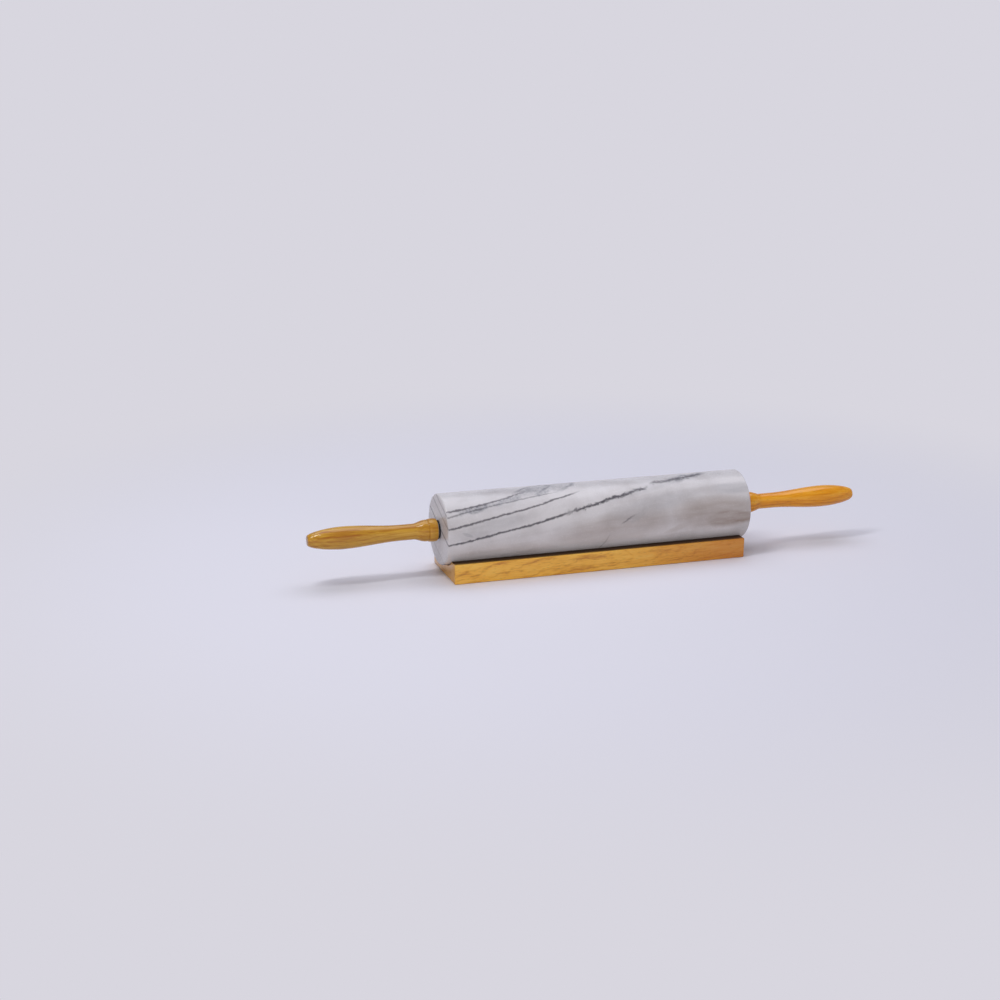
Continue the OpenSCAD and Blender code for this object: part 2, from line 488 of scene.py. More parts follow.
            # The vein's angle at each point is angle + drift x + bow x squared, with x from the left face
            bowed = {0: from_face, 1: vein.bow, 2: vein.drift}
            slope = add_node(tree, "Math", bowed, operation="MULTIPLY_ADD")
            line = add_node(tree, "Math", {0: slope, 1: from_face, 2: vein.angle}, operation="MULTIPLY_ADD")
            smooth = self._arc_from(tree, angle, line, wander)
            frayed = {0: crumble, 1: vein.raggedness, 2: smooth}
            offset = add_node(tree, "Math", frayed, operation="MULTIPLY_ADD")
            aside = add_node(tree, "Math", {0: offset}, operation="ABSOLUTE")
            swollen = {0: swell, 1: vein.half_width, 2: aside}
            distance = add_node(tree, "Math", swollen, operation="MULTIPLY_ADD")
            mask = self._soft_line(tree, distance, vein, self.vein_edge)
            for span, levels in ((vein.begins, (0.0, 1.0)), (vein.ends, (1.0, 0.0))):
                if span is None:
                    continue
                ramp = {"From Min": span[0], "From Max": span[1], "To Min": levels[0], "To Max": levels[1]}
                fade = add_node(tree, "MapRange", {"Value": along, **ramp})
                mask = add_node(tree, "Math", {0: mask, 1: fade}, operation="MULTIPLY")
            dark = add_node(tree, "Math", {0: dark, 1: mask}, operation="MAXIMUM")
        return dark

    def _soft_line(self, tree: Tree, distance: Node, mark: Vein | EndTrace, edge: float) -> Node:
        """Shades a vein or a trace from its dark core out to its faded edge.

        Args:
            tree: The material's node tree.
            distance: Each point's distance from the line's middle, in millimetres.
            mark: The vein or trace, which gives the line's width and strength.
            edge: Where the line has faded, in half widths.

        Returns:
            The node that says how dark the line is, from 0 to 1.
        """
        shading = {
            "From Min": self.core * mark.half_width,
            "From Max": edge * mark.half_width,
            "To Min": mark.strength,
            "To Max": 0.0,
        }
        return add_node(tree, "MapRange", {"Value": distance, **shading}, interpolation_type="SMOOTHSTEP")

    def _arc_from(self, tree: Tree, angle: Pattern, line: Pattern, wander: Pattern) -> Node:
        """Measures the signed arc in millimetres from an angle to each point, pushed aside by the folds.

        Args:
            tree: The material's node tree.
            angle: Each point's angle round the barrel, in degrees.
            line: The angle to measure from.
            wander: The push aside.

        Returns:
            The node that gives the arc.
        """
        gap = add_node(tree, "Math", {0: angle, 1: line}, operation="SUBTRACT")
        near = add_node(tree, "Math", {0: gap, 1: 180.0, 2: -180.0}, operation="WRAP")
        per_degree = math.radians(self.radius / MM)
        return add_node(tree, "Math", {0: near, 1: per_degree, 2: wander}, operation="MULTIPLY_ADD")

    def _traces(self, tree: Tree, place: Node, wander: Pattern) -> Pattern:
        """Draws the veins' straight traces on the end faces.

        Args:
            tree: The material's node tree.
            place: The place in millimetres from the barrel's axis.
            wander: The push aside.

        Returns:
            The node that says how dark the traces are, from 0 to 1.
        """
        tilt = math.radians(self.bedding_tilt)
        dark: Pattern = 0.0
        for trace in self.traces:
            # The sheet's plane is square to this direction, and rises from one end face to the other
            rise = (trace.right - trace.left) / (2 * self.left_face)
            square = (rise, -math.sin(tilt), math.cos(tilt))
            across = add_node(tree, "VectorMath", {0: place, 1: square}, operation="DOT_PRODUCT")
            height = add_node(tree, "Math", {0: across, 1: wander}, operation="ADD")
            gap = add_node(tree, "Math", {0: height, 1: (trace.left + trace.right) / 2}, operation="SUBTRACT")
            distance = add_node(tree, "Math", {0: gap}, operation="ABSOLUTE")
            mask = self._soft_line(tree, distance, trace, self.trace_edge)
            dark = add_node(tree, "Math", {0: dark, 1: mask}, operation="MAXIMUM")
        return dark

    def _patches(
        self,
        tree: Tree,
        patches: Sequence[Patch],
        unrolled: tuple[Pattern, Pattern],
        wander: Pattern,
        noise: Pattern,
        least: float,
    ) -> Pattern:
        """Draws egg-shaped patches, broken up inside by a noise, some with a dark rim above and to the right.

        Args:
            tree: The material's node tree.
            patches: The patches.
            unrolled: The place along the barrel and the angle round it.
            wander: The push aside.
            noise: The noise that breaks them up.
            least: What the noise leaves of them where it is faintest.

        Returns:
            The node that says how strong the patches are, from 0 to 1.
        """
        along, angle = unrolled
        breaking = {"From Min": 0.38, "From Max": 0.6, "To Min": least, "To Max": 1.0}
        broken = add_node(tree, "MapRange", {"Value": noise, **breaking})
        grainy = add_node(tree, "MapRange", {"Value": broken, "To Min": 0.6, "To Max": 1.0})
        total: Pattern = 0.0
        for patch in patches:
            offset = add_node(tree, "Math", {0: along, 1: patch.along}, operation="SUBTRACT")
            arc_length = self._arc_from(tree, angle, patch.angle, wander)
            slanted = {0: offset, 1: -patch.slant, 2: arc_length}
            level = add_node(tree, "Math", slanted, operation="MULTIPLY_ADD")
            flat = add_node(tree, "CombineXYZ", {"X": offset, "Y": level})
            size = (patch.half_length, patch.half_height, 1.0)
            scaled = add_node(tree, "VectorMath", {0: flat, 1: size}, operation="DIVIDE")
            length = add_node(tree, "VectorMath", {0: scaled}, operation="LENGTH")
            reach = add_node(tree, "Math", {0: noise, 1: 0.3, 2: length}, operation="MULTIPLY_ADD")
            fading = {"From Min": 0.6, "From Max": 1.3, "To Min": patch.strength, "To Max": 0.0}
            inside = add_node(tree, "MapRange", {"Value": reach, **fading}, interpolation_type="SMOOTHSTEP")
            fill = add_node(tree, "Math", {0: inside, 1: broken}, operation="MULTIPLY")
            total = add_node(tree, "Math", {0: total, 1: fill}, operation="MAXIMUM")
            if patch.rim == 0:
                continue
            from_rim = add_node(tree, "Math", {0: reach, 1: 1.07}, operation="SUBTRACT")
            edge = add_node(tree, "Math", {0: from_rim}, operation="ABSOLUTE")
            fading = {"From Min": 0.0, "From Max": 0.32, "To Min": patch.rim, "To Max": 0.0}
            line = add_node(tree, "MapRange", {"Value": edge, **fading}, interpolation_type="SMOOTHSTEP")
            # The rim runs over the egg's top and round its right end, and fades under it
            sideways = add_node(tree, "VectorMath", {0: scaled, 1: (0.8, -0.6, 0.0)}, operation="DOT_PRODUCT")
            shown = add_node(tree, "MapRange", {"Value": sideways, "From Min": -0.95, "From Max": -0.1})
            whole = add_node(tree, "Math", {0: line, 1: shown}, operation="MULTIPLY")
            rim = add_node(tree, "Math", {0: whole, 1: grainy}, operation="MULTIPLY")
            total = add_node(tree, "Math", {0: total, 1: rim}, operation="MAXIMUM")
        return total


@dataclass(frozen=True)
class LacqueredWood:
    """Pale hardwood with a fine even grain, sanded and dipped in a honey-coloured gloss lacquer.

    It gives long fine fibres, faint growth rings that show as flames on a flat face and as arcs on an end,
    short brown flecks of open pores, and a small hard highlight over all of it. Painted shade, where there is
    any, darkens the upward faces that lie close under another piece and dulls their lacquer.
    """

    name: str
    pith: tuple[float, float, float]
    pith_tilt: tuple[float, float, float]
    light: str
    middle: str
    dark: str
    fleck: str = "8a5420"
    red: str = "bb6a26"
    # The colour of the painted shade on faces close under another piece
    painted_shade_colour: str = "341d10"
    red_end: float = 0.0
    # Growth rings are 1 to 4 mm apart. Fibres and flecks are drawn coarser than real ones, so that they show
    ring_spacing: float = 3.4
    ring_contrast: float = 0.12
    sway: float = 5.0
    distortion: float = 0.6
    lateness: float = 2.2
    fibre_size: float = 1.0
    fibre_stretch: float = 0.04
    fleck_strength: float = 0.3
    end_grain: float = 0.5
    # How dark the painted shade goes on upward faces close under another piece, and how much it dulls the
    # lacquer
    painted_shade: float = 0.0
    # Painted shade looks this far in metres for what hangs over it, and grows as less of the sky is open
    painted_shade_reach: float = 45.0 * MM
    painted_shade_sky: tuple[float, float] = (0.45, 0.88)
    coat: float = 0.85
    coat_roughness: float = 0.09

    def material(self) -> bpy.types.Material:
        """Builds the wood.

        Returns:
            The material, patterned in millimetres around the stick's pith.
        """
        material, tree, shader = new_material(self.name)
        spot = add_node(tree, "TexCoord")
        from_pith = {"Location": self.pith, "Rotation": self.pith_tilt, "Scale": (1 / MM, 1 / MM, 1 / MM)}
        stick = add_node(tree, "Mapping", {"Vector": spot.outputs["Object"], **from_pith})
        stretch = (self.fibre_stretch, 1.0, 1.0)
        drawn_out = add_node(tree, "VectorMath", {0: stick, 1: stretch}, operation="MULTIPLY")
        fine = {"Scale": 1 / self.fibre_size, "Detail": 4.0, "Roughness": 0.6}
        fibres = add_node(tree, "TexNoise", {"Vector": drawn_out, **fine})
        streaks = add_node(tree, "TexNoise", {"Vector": drawn_out, "Scale": 1 / 6, "Detail": 2.0})
        figure: Pattern = 0.0
        late_wood = self._late_wood(tree, stick)
        for pattern, weight in ((late_wood, self.ring_contrast), (fibres, 0.5), (streaks, 0.5)):
            figure = add_node(tree, "Math", {0: pattern, 1: weight, 2: figure}, operation="MULTIPLY_ADD")
        spread = add_node(tree, "MapRange", {"Value": figure, "From Min": 0.36, "From Max": 0.7})
        ramp = add_node(tree, "ValToRGB", {"Fac": spread})
        stops = ramp.color_ramp.elements
        stops[0].color = linear_colour(self.light)
        stops[1].color = linear_colour(self.dark)
        stops.new(0.5).color = linear_colour(self.middle)
        # Wood drinks in more lacquer where it is cut across, and goes darker there
        facing = add_node(tree, "SeparateXYZ", {0: spot.outputs["Normal"]})
        sideways = add_node(tree, "Math", {0: facing.outputs["X"]}, operation="ABSOLUTE")
        soaked = {"From Min": 0.6, "From Max": 0.95, "To Max": self.end_grain}
        cut_across = add_node(tree, "MapRange", {"Value": sideways, **soaked})
        layers = [
            (self._red_amount(tree, stick), self.red),
            (self._flecks(tree, stick), self.fleck),
            (cut_across, self.dark),
        ]
        looks = {
            "IOR": 1.45,
            "Specular IOR Level": 0.1,
            "Coat Weight": self.coat,
            "Coat Roughness": self.coat_roughness,
            "Coat IOR": 1.5,
        }
        fill_inputs(tree, shader, looks)
        # Painted shade: upward faces close under the stone are darkened and their lacquer dulled, standing in
        # for the shadow there
        if self.painted_shade > 0:
            painted_shade = self._painted_shade(tree, facing)
            layers.append((painted_shade, self.painted_shade_colour))
            gloss = add_node(tree, "Math", {0: painted_shade, 1: -self.coat, 2: self.coat}, operation="MULTIPLY_ADD")
            fill_inputs(tree, shader, {"Coat Weight": gloss})
        texture_surface(tree, shader, fibres, (0.4, 0.6), relief=(0.2, 0.04 * MM), heights=figure)
        fill_inputs(tree, shader, {"Base Color": lay_tints(tree, ramp, layers)})
        return material

    def _late_wood(self, tree: Tree, stick: Node) -> Node:
        """Draws the dark late wood of the growth rings, which sway slowly along the stick.

        Args:
            tree: The material's node tree.
            stick: The place from the pith, in millimetres.

        Returns:
            The node that says how much late wood shows, from 0 to 1.
        """
        slow = add_node(tree, "VectorMath", {0: stick, 1: (0.3, 1.0, 1.0)}, operation="MULTIPLY")
        swayed = add_node(tree, "TexNoise", {"Vector": slow, "Scale": 1 / 14, "Detail": 1.0})
        centre = (0.5, 0.5, 0.5)
        push = add_node(tree, "VectorMath", {0: swayed.outputs["Color"], 1: centre}, operation="SUBTRACT")
        reach = (0.0, self.sway, self.sway)
        bent = add_node(tree, "VectorMath", {0: push, 1: reach, 2: stick}, operation="MULTIPLY_ADD")
        # At a scale of 1 the wave's rings lie tau / 20 apart
        spacing = {"Scale": math.tau / 20 / self.ring_spacing}
        unevenness = {"Distortion": self.distortion, "Detail": 2.0, "Detail Scale": 0.6}
        rings = add_node(
            tree,
            "TexWave",
            {"Vector": bent, **spacing, **unevenness},
            wave_type="RINGS",
            rings_direction="X",
        )
        return add_node(tree, "Math", {0: rings.outputs["Fac"], 1: self.lateness}, operation="POWER")

    def _painted_shade(self, tree: Tree, facing: Node) -> Node:
        """Finds the upward faces that the stone hangs close over, where shade is painted on.

        Args:
            tree: The material's node tree.
            facing: The parts of each point's normal.

        Returns:
            The node that says how dark the painted shade is.
        """
        open_sky = add_node(tree, "AmbientOcclusion", {"Distance": self.painted_shade_reach}, samples=16)
        least, most = self.painted_shade_sky
        growing = {"From Min": least, "From Max": most, "To Min": self.painted_shade, "To Max": 0.0}
        hidden = add_node(tree, "MapRange", {"Value": open_sky.outputs["AO"], **growing})
        upward = add_node(tree, "MapRange", {"Value": facing.outputs["Z"], "From Min": 0.5, "From Max": 0.95})
        return add_node(tree, "Math", {0: hidden, 1: upward}, operation="MULTIPLY")

    def _red_amount(self, tree: Tree, stick: Node) -> Node:
        """Gives how much of the heartwood's red shows, which grows towards the stick's right end.

        Args:
            tree: The material's node tree.
            stick: The place from the pith, in millimetres.

        Returns:
            The node that gives the amount.
        """
        axes = add_node(tree, "SeparateXYZ", {0: stick})
        growing = {"From Min": -10.0, "From Max": 125.0, "To Min": 0.0, "To Max": self.red_end}
        along = {"Value": axes.outputs["X"], **growing}
        return add_node(tree, "MapRange", along, interpolation_type="SMOOTHSTEP")

    def _flecks(self, tree: Tree, stick: Node) -> Node:
        """Draws the short brown dashes of the wood's open pores, some 6 mm long.

        Args:
            tree: The material's node tree.
            stick: The place from the pith, in millimetres.

        Returns:
            The node that says how dark the flecks are.
        """
        squeezed = add_node(tree, "VectorMath", {0: stick, 1: (0.22, 1.0, 1.0)}, operation="MULTIPLY")
        cells = add_node(tree, "TexVoronoi", {"Vector": squeezed, "Scale": 1 / 1.4, "Randomness": 1.0})
        fading = {"From Min": 0.05, "From Max": 0.3, "To Min": self.fleck_strength, "To Max": 0.0}
        return add_node(tree, "MapRange", {"Value": cells.outputs["Distance"], **fading})


@dataclass(frozen=True)
class TurnedMetal:
    """Bar metal turned on a lathe, with the fine rings that the tool leaves.

    It gives a satin gleam that is broken into hairlines round the axis.
    """

    name: str
    colour: str
    roughness: float

    def material(self) -> bpy.types.Material:
        """Builds the metal.

        Returns:
            The material, with hairlines across the pin's axis.
        """
        material, tree, shader = new_material(self.name)
        place = add_node(tree, "TexCoord")
        # Tool marks 0.25 mm apart along the axis
        spacing = (4 / MM, 0.05 / MM, 0.05 / MM)
        marks = add_node(tree, "Mapping", {"Vector": place.outputs["Object"], "Scale": spacing})
        noise = add_node(tree, "TexNoise", {"Vector": marks, "Scale": 1.0, "Detail": 2.0})
        roughness = (self.roughness - 0.08, self.roughness + 0.12)
        texture_surface(tree, shader, noise, roughness, relief=(0.2, 0.02 * MM))
        fill_inputs(tree, shader, {"Base Color": linear_colour(self.colour), "Metallic": 1.0})
        return material


@dataclass(frozen=True)
class MouldedNylon:
    """Black nylon, injection moulded and left as it came from the tool.

    It gives a dark, slightly waxy surface with a faint grain.
    """

    colour: str = "1e1d1d"

    def material(self) -> bpy.types.Material:
        """Builds the nylon.

        Returns:
            The material, with a grain of half a millimetre.
        """
        material, tree, shader = new_material("moulded_nylon")
        place = add_node(tree, "TexCoord")
        graining = {"Vector": place.outputs["Object"], "Scale": 2 / MM, "Detail": 3.0}
        grain = add_node(tree, "TexNoise", graining)
        texture_surface(tree, shader, grain, (0.38, 0.55), relief=(0.2, 0.02 * MM))
        fill_inputs(tree, shader, {"Base Color": linear_colour(self.colour), "IOR": 1.53})
        return material


def finished_object(name: str, mesh: bmesh.types.BMesh, material: bpy.types.Material) -> bpy.types.Object:
    """Turns a bmesh into a shaded object at the origin, and frees the bmesh.

    Args:
        name: The piece's name.
        mesh: The piece's shape, already in its place.
        material: The piece's finish.

    Returns:
        The object, linked to the scene.
    """
    data = bpy.data.meshes.new(name)
    mesh.to_mesh(data)
    mesh.free()
    data.materials.append(material)
    piece = bpy.data.objects.new(name, data)
    bpy.context.scene.collection.objects.link(piece)
    return piece


def seat(piece: bpy.types.Object, body: Body, slot: Slot, *nodes: str) -> bpy.types.Object:
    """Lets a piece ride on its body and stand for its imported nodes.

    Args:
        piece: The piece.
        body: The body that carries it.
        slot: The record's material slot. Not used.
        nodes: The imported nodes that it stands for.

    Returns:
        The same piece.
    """
    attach(piece, body.value)
    if nodes:
        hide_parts(*nodes)
    LOG.info("%s rides on %s, %d faces", piece.name, body.value, len(piece.data.polygons))
    return piece


def arc(centre: Station, radius: float, start: float, stop: float, steps: int) -> list[Station]:
    """Lists points round an arc of an outline.

    Args:
        centre: The arc's centre.
        radius: The arc's radius.
        start: The angle of the first point in degrees, from the pin's axis outward.
        stop: The angle of the last point.
        steps: How many steps lie between them.

    Returns:
        The arc's points, both ends included.
    """
    angles = [math.radians(start + (stop - start) * i / steps) for i in range(steps + 1)]
    return [(centre[0] + radius * math.cos(a), centre[1] + radius * math.sin(a)) for a in angles]


def turned(outline: Sequence[Station], axis_height: float, steps: int, closed: bool) -> bmesh.types.BMesh:
    """Spins an outline round the pin's axis, as a lathe does.

    Args:
        outline: The outline's points, as distance along X and radius.
        axis_height: The height of the pin's axis.
        steps: How many faces go round.
        closed: Whether the last point joins the first, as on a piece with a hole right through.

    Returns:
        The turned shape, with its faces pointing outward.
    """
    shape = bmesh.new()
    points = [shape.verts.new((x, 0.0, axis_height + r)) for x, r in outline]
    pairs = list(zip(points, points[1:]))
    if closed:
        pairs.append((points[-1], points[0]))
    edges = [shape.edges.new(pair) for pair in pairs]
    bmesh.ops.spin(
        shape,
        geom=points + edges,
        cent=(0, 0, axis_height),
        axis=(1, 0, 0),
        angle=math.tau,
        steps=steps,
        use_merge=True,
    )
    bmesh.ops.remove_doubles(shape, verts=shape.verts, dist=0.002 * MM)
    bmesh.ops.dissolve_degenerate(shape, edges=shape.edges, dist=0.001 * MM)
    bmesh.ops.recalc_face_normals(shape, faces=shape.faces)
    return shape


def shade_round(shape: bmesh.types.BMesh, sharp_angle: float) -> None:
    """Shades a shape smooth, but keeps its sharp edges and flat ends crisp.

    Args:
        shape: The shape.
        sharp_angle: The angle in degrees past which an edge stays sharp.
    """
    for face in shape.faces:
        face.smooth = True
    for edge in shape.edges:
        if len(edge.link_faces) == 2:
            edge.smooth = edge.calc_face_angle(0.0) < math.radians(sharp_angle)


@dataclass
class Barrel:
    """The marble barrel: a turned cylinder with ground edges and a hole for the bearings."""

    edge_radius: float = 1.5 * MM
    bore_radius: float = 6.0 * MM
    bore_chamfer: float = 0.5 * MM
    edge_steps: int = 10
    round_steps: int = 256
    sharp_angle: float = 30.0

    def build(self) -> bpy.types.Object:
        """Models and dresses the barrel.

        Returns:
            The barrel.
        """
        low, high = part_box("barrel")
        radius = (high.z - low.z) / 2
        axis_height = (high.z + low.z) / 2
        half = (high.x - low.x) / 2
        chamfer = self.bore_chamfer
        edge = self.edge_radius
        right = [
            (half - chamfer, self.bore_radius),
            (half, self.bore_radius + chamfer),
            *arc((half - edge, radius - edge), edge, 0, 90, self.edge_steps),
        ]
        left = [(-x, r) for x, r in reversed(right)]
        shape = turned(right + left, axis_height, self.round_steps, closed=True)
        shade_round(shape, self.sharp_angle)
        marble = PolishedMarble(axis_height, radius, low.x / MM).material()
        return seat(finished_object("marble_barrel", shape, marble), Body.ROLLER, Slot.MARBLE, "barrel")


@dataclass
class Handle:
    """A turned handle: collar, crease, flared shoulder, slim neck, long swell and a small flat tip."""

    side: Side
    collar_length: float = 6.6 * MM
    collar_bulge: float = 0.3 * MM
    collar_corner: float = 0.4 * MM
    collar_undercut: float = 0.12 * MM
    crease_length: float = 0.9 * MM
    crease_depth: float = 0.34 * MM
    # Shares of the crease's length and depth
    crease_points: tuple[Station, ...] = ((0.3, 0.8), (0.5, 1.0), (0.75, 0.5))
    shoulder_step: float = 0.3 * MM
    shoulder_fullness: float = 1.25
    flare_length: float = 11.0 * MM
    neck_length: float = 9.5 * MM
    neck_radius: float = 6.2 * MM
    swell_radius: float = 8.8 * MM
    swell_at: float = 74.0 * MM
    tip_radius: float = 3.6 * MM
    tip_power: float = 1.8
    tip_roundness: float = 0.62
    insert_hole: tuple[float, float] = (4.53 * MM, 13.0 * MM)
    pilot_hole: tuple[float, float] = (3.2 * MM, 24.2 * MM)
    round_steps: int = 128
    sharp_angle: float = 40.0

    def build(self, finish: Finish) -> bpy.types.Object:
        """Models and dresses the handle.

        Args:
            finish: The handle's wood.

        Returns:
            The handle.
        """
        node = f"{self.side.label}_handle"
        low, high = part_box(node)
        face = low.x if self.side is Side.RIGHT else high.x
        axis_height = (low.z + high.z) / 2
        outline = self._outline(high.x - low.x, (high.z - low.z) / 2)
        placed = [(face + self.side.value * s, r) for s, r in outline]
        shape = turned(placed, axis_height, self.round_steps, closed=False)
        shade_round(shape, self.sharp_angle)
        piece = finished_object(f"turned_{node}", shape, finish.material())
        return seat(piece, Body.HANDLE_SET, Slot.HANDLE_WOOD, node)

    def _outline(self, length: float, collar_radius: float) -> list[Station]:
        """Draws the handle's outline, from the bottom of its drilled hole round to its tip.

        Args:
            length: The handle's length.
            collar_radius: The collar's largest radius.

        Returns:
            The outline, with distances measured from the collar's face.
        """
        flare_at = self.collar_length + self.crease_length
        neck_at = flare_at + self.flare_length
        rise_at = neck_at + self.neck_length
        insert_radius, insert_depth = self.insert_hole
        pilot_radius, pilot_depth = self.pilot_hole
        collar_end = collar_radius - self.collar_bulge - self.shoulder_step
        corner = self.collar_corner
        collar = [
            (s, collar_radius - self.collar_bulge * (2 * s / self.collar_length - 1) ** 2)
            for s in self._steps(corner, self.collar_length - corner / 2, 16)
        ]
        crease = [
            (self.collar_length + self.crease_length * along, collar_end - self.crease_depth * deep)
            for along, deep in self.crease_points
        ]
        return [
            (pilot_depth, 0.0),
            (pilot_depth, pilot_radius),
            (insert_depth, pilot_radius),
            (insert_depth, insert_radius),
            (0.0, insert_radius),
            *arc((corner, collar[0][1] - corner), corner, 180, 90, 6),
            *collar,
            (self.collar_length, collar[-1][1] - self.collar_undercut),
            *crease,
            *self._eased_run(flare_at, neck_at, collar_end, self.neck_radius, self.shoulder_fullness, 28),
            *self._eased_run(rise_at, self.swell_at, self.neck_radius, self.swell_radius, 1.0, 40),
            *self._tip(length),
            (length, 0.0),
        ]

    def _steps(self, start: float, stop: float, count: int) -> list[float]:
        """Lists evenly spaced distances, both ends included."""
        return [start + (stop - start) * i / count for i in range(count + 1)]

    def _eased_run(
        self, start: float, stop: float, first: float, last: float, fullness: float, count: int
    ) -> list[Station]:
        """Draws a stretch from one radius to the next without a kink.

        Args:
            start: Where the stretch starts.
            stop: Where it stops.
            first: The radius at its start.
            last: The radius at its stop.
            fullness: How long it keeps its first radius. Over 1 is longer than an even swing.
            count: How many steps it has.

        Returns:
            The stretch's points, both ends included.
        """
        return [
            (start + (stop - start) * t, first + (last - first) * (1 - math.cos(math.pi * t**fullness)) / 2)
            for t in self._steps(0.0, 1.0, count)
        ]

    def _tip(self, length: float) -> list[Station]:
        """Draws the rounded stretch between the swell and the flat tip.

        Args:
            length: The handle's length.

        Returns:
            The stretch's points after the swell, up to the flat tip's edge.
        """
        turns = [math.sin(math.pi / 2 * t) for t in self._steps(0.0, 1.0, 32)][1:]
        drop = self.swell_radius - self.tip_radius
        return [
            (
                self.swell_at + t * (length - self.swell_at),
                self.tip_radius + drop * max(0.0, 1 - t**self.tip_power) ** self.tip_roundness,
            )
            for t in turns
        ]


@dataclass
class Cradle:
    """The cradle: one block of wood with a round trough along its top and every edge sanded."""

    edge_radius: float = 1.0 * MM
    lip_radius: float = 0.7 * MM
    seat_gap: float = 0.3 * MM
    trough_floor: float = 8.6 * MM
    arc_steps: int = 48
    sharp_angle: float = 35.0

    def build(self, finish: Finish) -> bpy.types.Object:
        """Models and dresses the cradle.

        Args:
            finish: The cradle's wood.

        Returns:
            The cradle.
        """
        low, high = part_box("cradle")
        barrel_low, barrel_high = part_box("barrel")
        trough_radius = (barrel_high.z - barrel_low.z) / 2 + self.seat_gap
        axis_height = self.trough_floor + trough_radius
        shape = bmesh.new()
        half_angle = math.acos((axis_height - high.z) / trough_radius)
        section = [(low.y, low.z), (high.y, low.z), (high.y, high.z)]
        for i in range(self.arc_steps + 1):
            angle = half_angle - 2 * half_angle * i / self.arc_steps
            section.append((trough_radius * math.sin(angle), axis_height - trough_radius * math.cos(angle)))
        section.append((low.y, high.z))
        end = shape.faces.new([shape.verts.new((low.x, y, z)) for y, z in section])
        pushed = bmesh.ops.extrude_face_region(shape, geom=[end])["geom"]
        moved = [v for v in pushed if isinstance(v, bmesh.types.BMVert)]
        bmesh.ops.translate(shape, verts=moved, vec=(high.x - low.x, 0, 0))
        bmesh.ops.recalc_face_normals(shape, faces=shape.faces)
        self._ease(shape, low, high)
        shade_round(shape, self.sharp_angle)
        piece = finished_object("grooved_cradle", shape, finish.material())
        return seat(piece, Body.CRADLE, Slot.CRADLE_WOOD, "cradle")

    def _ease(self, shape: bmesh.types.BMesh, low: Vector, high: Vector) -> None:
        """Sands the trough's mouth and lips, then the block's outer edges.

        Args:
            shape: The cradle's block.
            low: The block's lowest corner.
            high: The block's highest corner.
        """
        slack = 0.01 * MM

        def outer(edge: bmesh.types.BMEdge) -> bool:
            """Says whether an edge lies on two of the block's outer faces.

            Args:
                edge: The edge.

            Returns:
                Whether it does.
            """
            sides = 0
            for axis in range(3):
                for bound in (low[axis], high[axis]):
                    sides += all(abs(v.co[axis] - bound) < slack for v in edge.verts)
            on_top_between = all(abs(v.co.z - high.z) < slack for v in edge.verts)
            return sides >= 2 or (sides == 1 and on_top_between and abs(edge.verts[0].co.y) > high.y - slack)

        rims = [e for e in shape.edges if not outer(e) and e.calc_face_angle(0.0) > math.radians(25)]
        self._round_off(shape, rims, self.lip_radius, 3)
        edges = [e for e in shape.edges if outer(e) and e.calc_face_angle(0.0) > math.radians(45)]
        self._round_off(shape, edges, self.edge_radius, 4)
        bmesh.ops.recalc_face_normals(shape, faces=shape.faces)

    def _round_off(
        self, shape: bmesh.types.BMesh, edges: Sequence[bmesh.types.BMEdge], radius: float, segments: int
    ) -> None:
        """Rounds edges off to a radius.

        Args:
            shape: The cradle's block.
            edges: The edges.
            radius: How far from each edge the rounding starts.
            segments: How many faces go round each edge.
        """
        bmesh.ops.bevel(
            shape,
            geom=edges,
            offset=radius,
            offset_type="OFFSET",
            affect="EDGES",
            segments=segments,
            profile=0.5,
            clamp_overlap=True,
            material=-1,
        )


@dataclass
class Bearings:
    """The small turned and moulded pieces between the barrel and the handles."""

    steel: TurnedMetal = TurnedMetal("turned_steel", "b4b5b8", 0.3)
    brass: TurnedMetal = TurnedMetal("turned_brass", "c8a65e", 0.3)
    nylon: MouldedNylon = MouldedNylon()

    def dress(self, nodes: Mapping[str, bpy.types.Object]) -> None:
        """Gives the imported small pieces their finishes.

        Args:
            nodes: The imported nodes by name.
        """
        finishes = {
            ("axle_rod", "left_washer", "right_washer"): self.steel,
            ("left_insert", "right_insert"): self.brass,
            ("left_bearing", "right_bearing"): self.nylon,
        }
        for names, finish in finishes.items():
            material = finish.material()
            for name in names:
                data = nodes[name].data
                data.materials.clear()
                data.materials.append(material)
                LOG.info("%s is dressed in %s", name, material.name)


@dataclass(frozen=True)
class Lamp:
    """A soft rectangular studio lamp that faces the pin: place and size in metres, power in watts, colour.

    A lamp with no gleam lights the pin without leaving its own reflection on it, as a diffused one does.
    """

    name: str
    place: tuple[float, float, float]
    size: tuple[float, float]
    power: float
    colour: str = "ffffff"
    gleams: bool = True

    def hang(self) -> None:
        """Adds the lamp to the scene."""
        light = bpy.data.lights.new(self.name, "AREA")
        light.shape = "RECTANGLE"
        light.size, light.size_y = self.size
        light.energy = self.power
        light.color = linear_colour(self.colour)[:3]
        holder = bpy.data.objects.new(self.name, light)
        holder.visible_glossy = self.gleams
        holder.location = self.place
        holder.rotation_euler = (Vector(LAMP_AIM) - holder.location).to_track_quat("-Z", "Y").to_euler()
        bpy.context.scene.collection.objects.link(holder)


